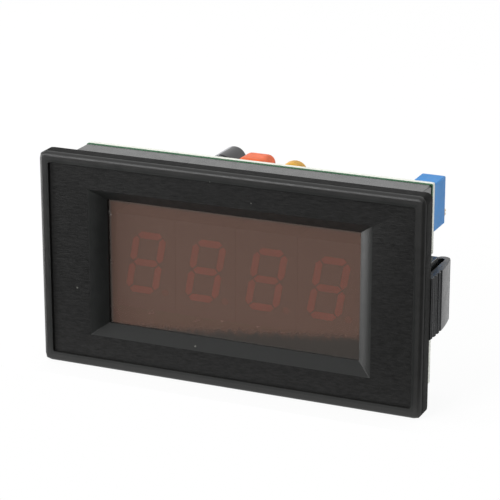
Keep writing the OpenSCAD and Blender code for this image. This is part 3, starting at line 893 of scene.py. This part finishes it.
def addFilmCapacitor():
    # a dipped block, rounder than a moulded one
    low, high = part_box("film_capacitor")
    left = low.x + partValues["dipInset"] * mm
    mesh = bmesh.new()
    bmesh.ops.create_cube(mesh, size=1)
    bmesh.ops.scale(mesh, vec=(high.x - left, high.y - low.y, high.z - low.z), verts=mesh.verts)
    middle = ((left + high.x) / 2, (low.y + high.y) / 2, (low.z + high.z) / 2)
    bmesh.ops.translate(mesh, vec=middle, verts=mesh.verts)
    roundEdges(mesh, partValues["dipRound"], partValues["dipSegments"])
    standIn(mesh, "film_capacitor", "filmCapacitor", "meter", "orange_dip", materials["orange"])


def addBandedParts():
    values = partValues
    rings = [(place, width, values[color]) for place, width, color in values["rings"]]
    place, width, color = values["diodeRing"]
    for number, axis in enumerate(values["resistorAxes"], 1):
        node = f"resistor_{number}"
        materials[node] = bandedBody(
            f"lacquer{number}", node, values["lacquer"], 0.35, axis, rings,
        )
        dressNode(node, node)
        dressNode(f"{node}_leads", "tinned")
    for number, axis in enumerate(values["diodeAxes"], 1):
        node = f"diode_{number}"
        materials[node] = bandedBody(
            f"glass{number}", node, values["glass"], 0.12, axis, [(place, width, values[color])],
        )
        dressNode(node, node)
        dressNode(f"{node}_leads", "tinned")


def addBoardParts():
    screwEdge = partValues["screwEdge"]
    for node, name, body, slotName, width, material in (
        ("trimmer_body", "trimmerBody", "meter", "trimmer_blue", partValues["trimmerEdge"], "blue"),
        ("converter_chip", "converterChip", "meter", "chip_epoxy", partValues["chipEdge"], "chip"),
        ("board_screws", "boardScrews", "meter", "screw_steel", screwEdge, "steel"),
        ("trimmer_screw", "trimmerScrew", "trimmer_screw", "screw_brass", screwEdge, "brass"),
    ):
        roundedNode(node, name, body, slotName, width, material)
    addCan()
    addFilmCapacitor()
    addBandedParts()
    for part in ("electrolytic", "film_capacitor", "converter"):
        dressNode(f"{part}_leads", "tinned")
    dressNode("trimmer_pins", "tinned")
    for node, material in (
        ("ceramic_capacitor", "yellow"),
        ("disc_capacitor_1", "brown"),
        ("disc_capacitor_2", "brown"),
    ):
        dressNode(node, material)
        dressNode(f"{node}_leads", "tinned")


addBoardParts()
print("parts ready")


# Side clips

clipValues = {"edge": 0.1, "gripEnd": 5.6, "gripDepth": 1.2, "crest": 0.25}


def addClips():
    values = clipValues
    for side in ("left", "right"):
        mesh = copyOfNode(f"{side}_clip")
        low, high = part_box(f"{side}_clip")
        outermost = max(abs(low.x), abs(high.x))
        roundEdges(mesh, values["edge"])
        for face in mesh.faces:
            middle = face.calc_center_median()
            outside = outermost - abs(middle.x) < values["gripDepth"] * mm
            onGrip = outside and middle.y < values["gripEnd"] * mm
            crest = face.calc_area() < values["crest"] * (high.z - low.z) * mm
            if onGrip and abs(face.normal.z) < 0.5 and not crest:
                face.material_index = 1
        standIn(
            mesh, f"{side}_clip", f"{side}Clip", f"{side}_clip", "clip_nylon",
            materials["clip"], materials["grip"],
        )


addClips()
print("clips ready")


# Floor and light

stageValues = {
    "floorWidth": 6,
    "floorGap": 0.00005,
    "floorFront": -0.01,
    "floorBack": 5,
    "floorColor": (0.92, 0.92, 0.92),
    "floorRoughness": 0.9,
    "floorGlow": 0.9,
    "glow": 1.015,
    "skyBright": 1.0,
    "skyDark": 0.1,
    "towardsBright": (-0.35, 1.0, 0.45),
    "fade": (-0.5, 0.35),
}


def seenDirectly(tree, path, *more):
    # one for a ray from the camera, through glass, or of a further kind named in more
    seen = path.outputs["Is Camera Ray"]
    for kind in ("Is Transmission Ray", *more):
        seen = addMath(tree, "MAXIMUM", seen, path.outputs[kind])
    return seen


def addFloor():
    values = stageValues
    front, back = values["floorFront"], values["floorBack"]
    height = cadBox[0][2] - values["floorGap"]
    mesh = bmesh.new()
    bmesh.ops.create_grid(mesh, x_segments=1, y_segments=1, size=0.5)
    bmesh.ops.scale(mesh, vec=(values["floorWidth"], back - front, 1), verts=mesh.verts)
    bmesh.ops.translate(mesh, vec=(0, (front + back) / 2, height), verts=mesh.verts)
    data = bpy.data.meshes.new("floor")
    mesh.to_mesh(data)
    mesh.free()
    material, tree, shader = newMaterial(
        "paleFloor", values["floorColor"], values["floorRoughness"],
    )
    path = tree.nodes.new("ShaderNodeLightPath")
    glow = addNode(tree, "ShaderNodeEmission", Color=(1, 1, 1, 1), Strength=values["glow"])
    mix = tree.nodes.new("ShaderNodeMixShader")
    seen = seenDirectly(tree, path, "Is Glossy Ray")
    share = addMath(tree, "MULTIPLY", seen, values["floorGlow"])
    tree.links.new(share, mix.inputs["Fac"])
    tree.links.new(shader.outputs[0], mix.inputs[1])
    tree.links.new(glow.outputs[0], mix.inputs[2])
    tree.links.new(mix.outputs[0], tree.nodes["Material Output"].inputs["Surface"])
    data.materials.append(material)
    floor = bpy.data.objects.new("floor", data)
    bpy.context.scene.collection.objects.link(floor)


def addWorld():
    # brighter towards one side, and white wherever it is seen directly
    values = stageValues
    world = bpy.data.worlds.new("studio")
    bpy.context.scene.world = world
    world.use_nodes = True
    tree = world.node_tree
    background = tree.nodes["Background"]
    path = tree.nodes.new("ShaderNodeLightPath")
    coordinates = tree.nodes.new("ShaderNodeTexCoord")
    along = tree.nodes.new("ShaderNodeVectorMath")
    along.operation = "DOT_PRODUCT"
    along.inputs[1].default_value = values["towardsBright"]
    tree.links.new(coordinates.outputs["Generated"], along.inputs[0])
    low, high = values["fade"]
    sky = smoothStep(
        tree, along.outputs["Value"], low, high, values["skyBright"], values["skyDark"],
    )
    strength = addMath(tree, "MAXIMUM", sky, seenDirectly(tree, path))
    tree.links.new(strength, background.inputs["Strength"])
    background.inputs["Color"].default_value = (1, 1, 1, 1)


lampValues = {
    "key": {"place": (-0.35, -0.85, 0.35), "size": 0.5, "power": 7.0},
    "leftPanel": {"place": (-0.42, -0.115, -0.007), "size": 0.28, "power": 1.6},
    "fill": {"place": (0.8, -0.5, 0.5), "size": 0.6, "power": 0.7},
}


def addLamps():
    for name, values in lampValues.items():
        data = bpy.data.lights.new(name, "AREA")
        data.size = values["size"]
        data.energy = values["power"]
        lamp = bpy.data.objects.new(name, data)
        bpy.context.scene.collection.objects.link(lamp)
        lamp.location = values["place"]
        lamp.rotation_euler = (-Vector(values["place"])).to_track_quat("-Z", "Y").to_euler()


addFloor()
addWorld()
addLamps()
bpy.context.scene.view_settings.view_transform = "Standard"
print("stage ready")
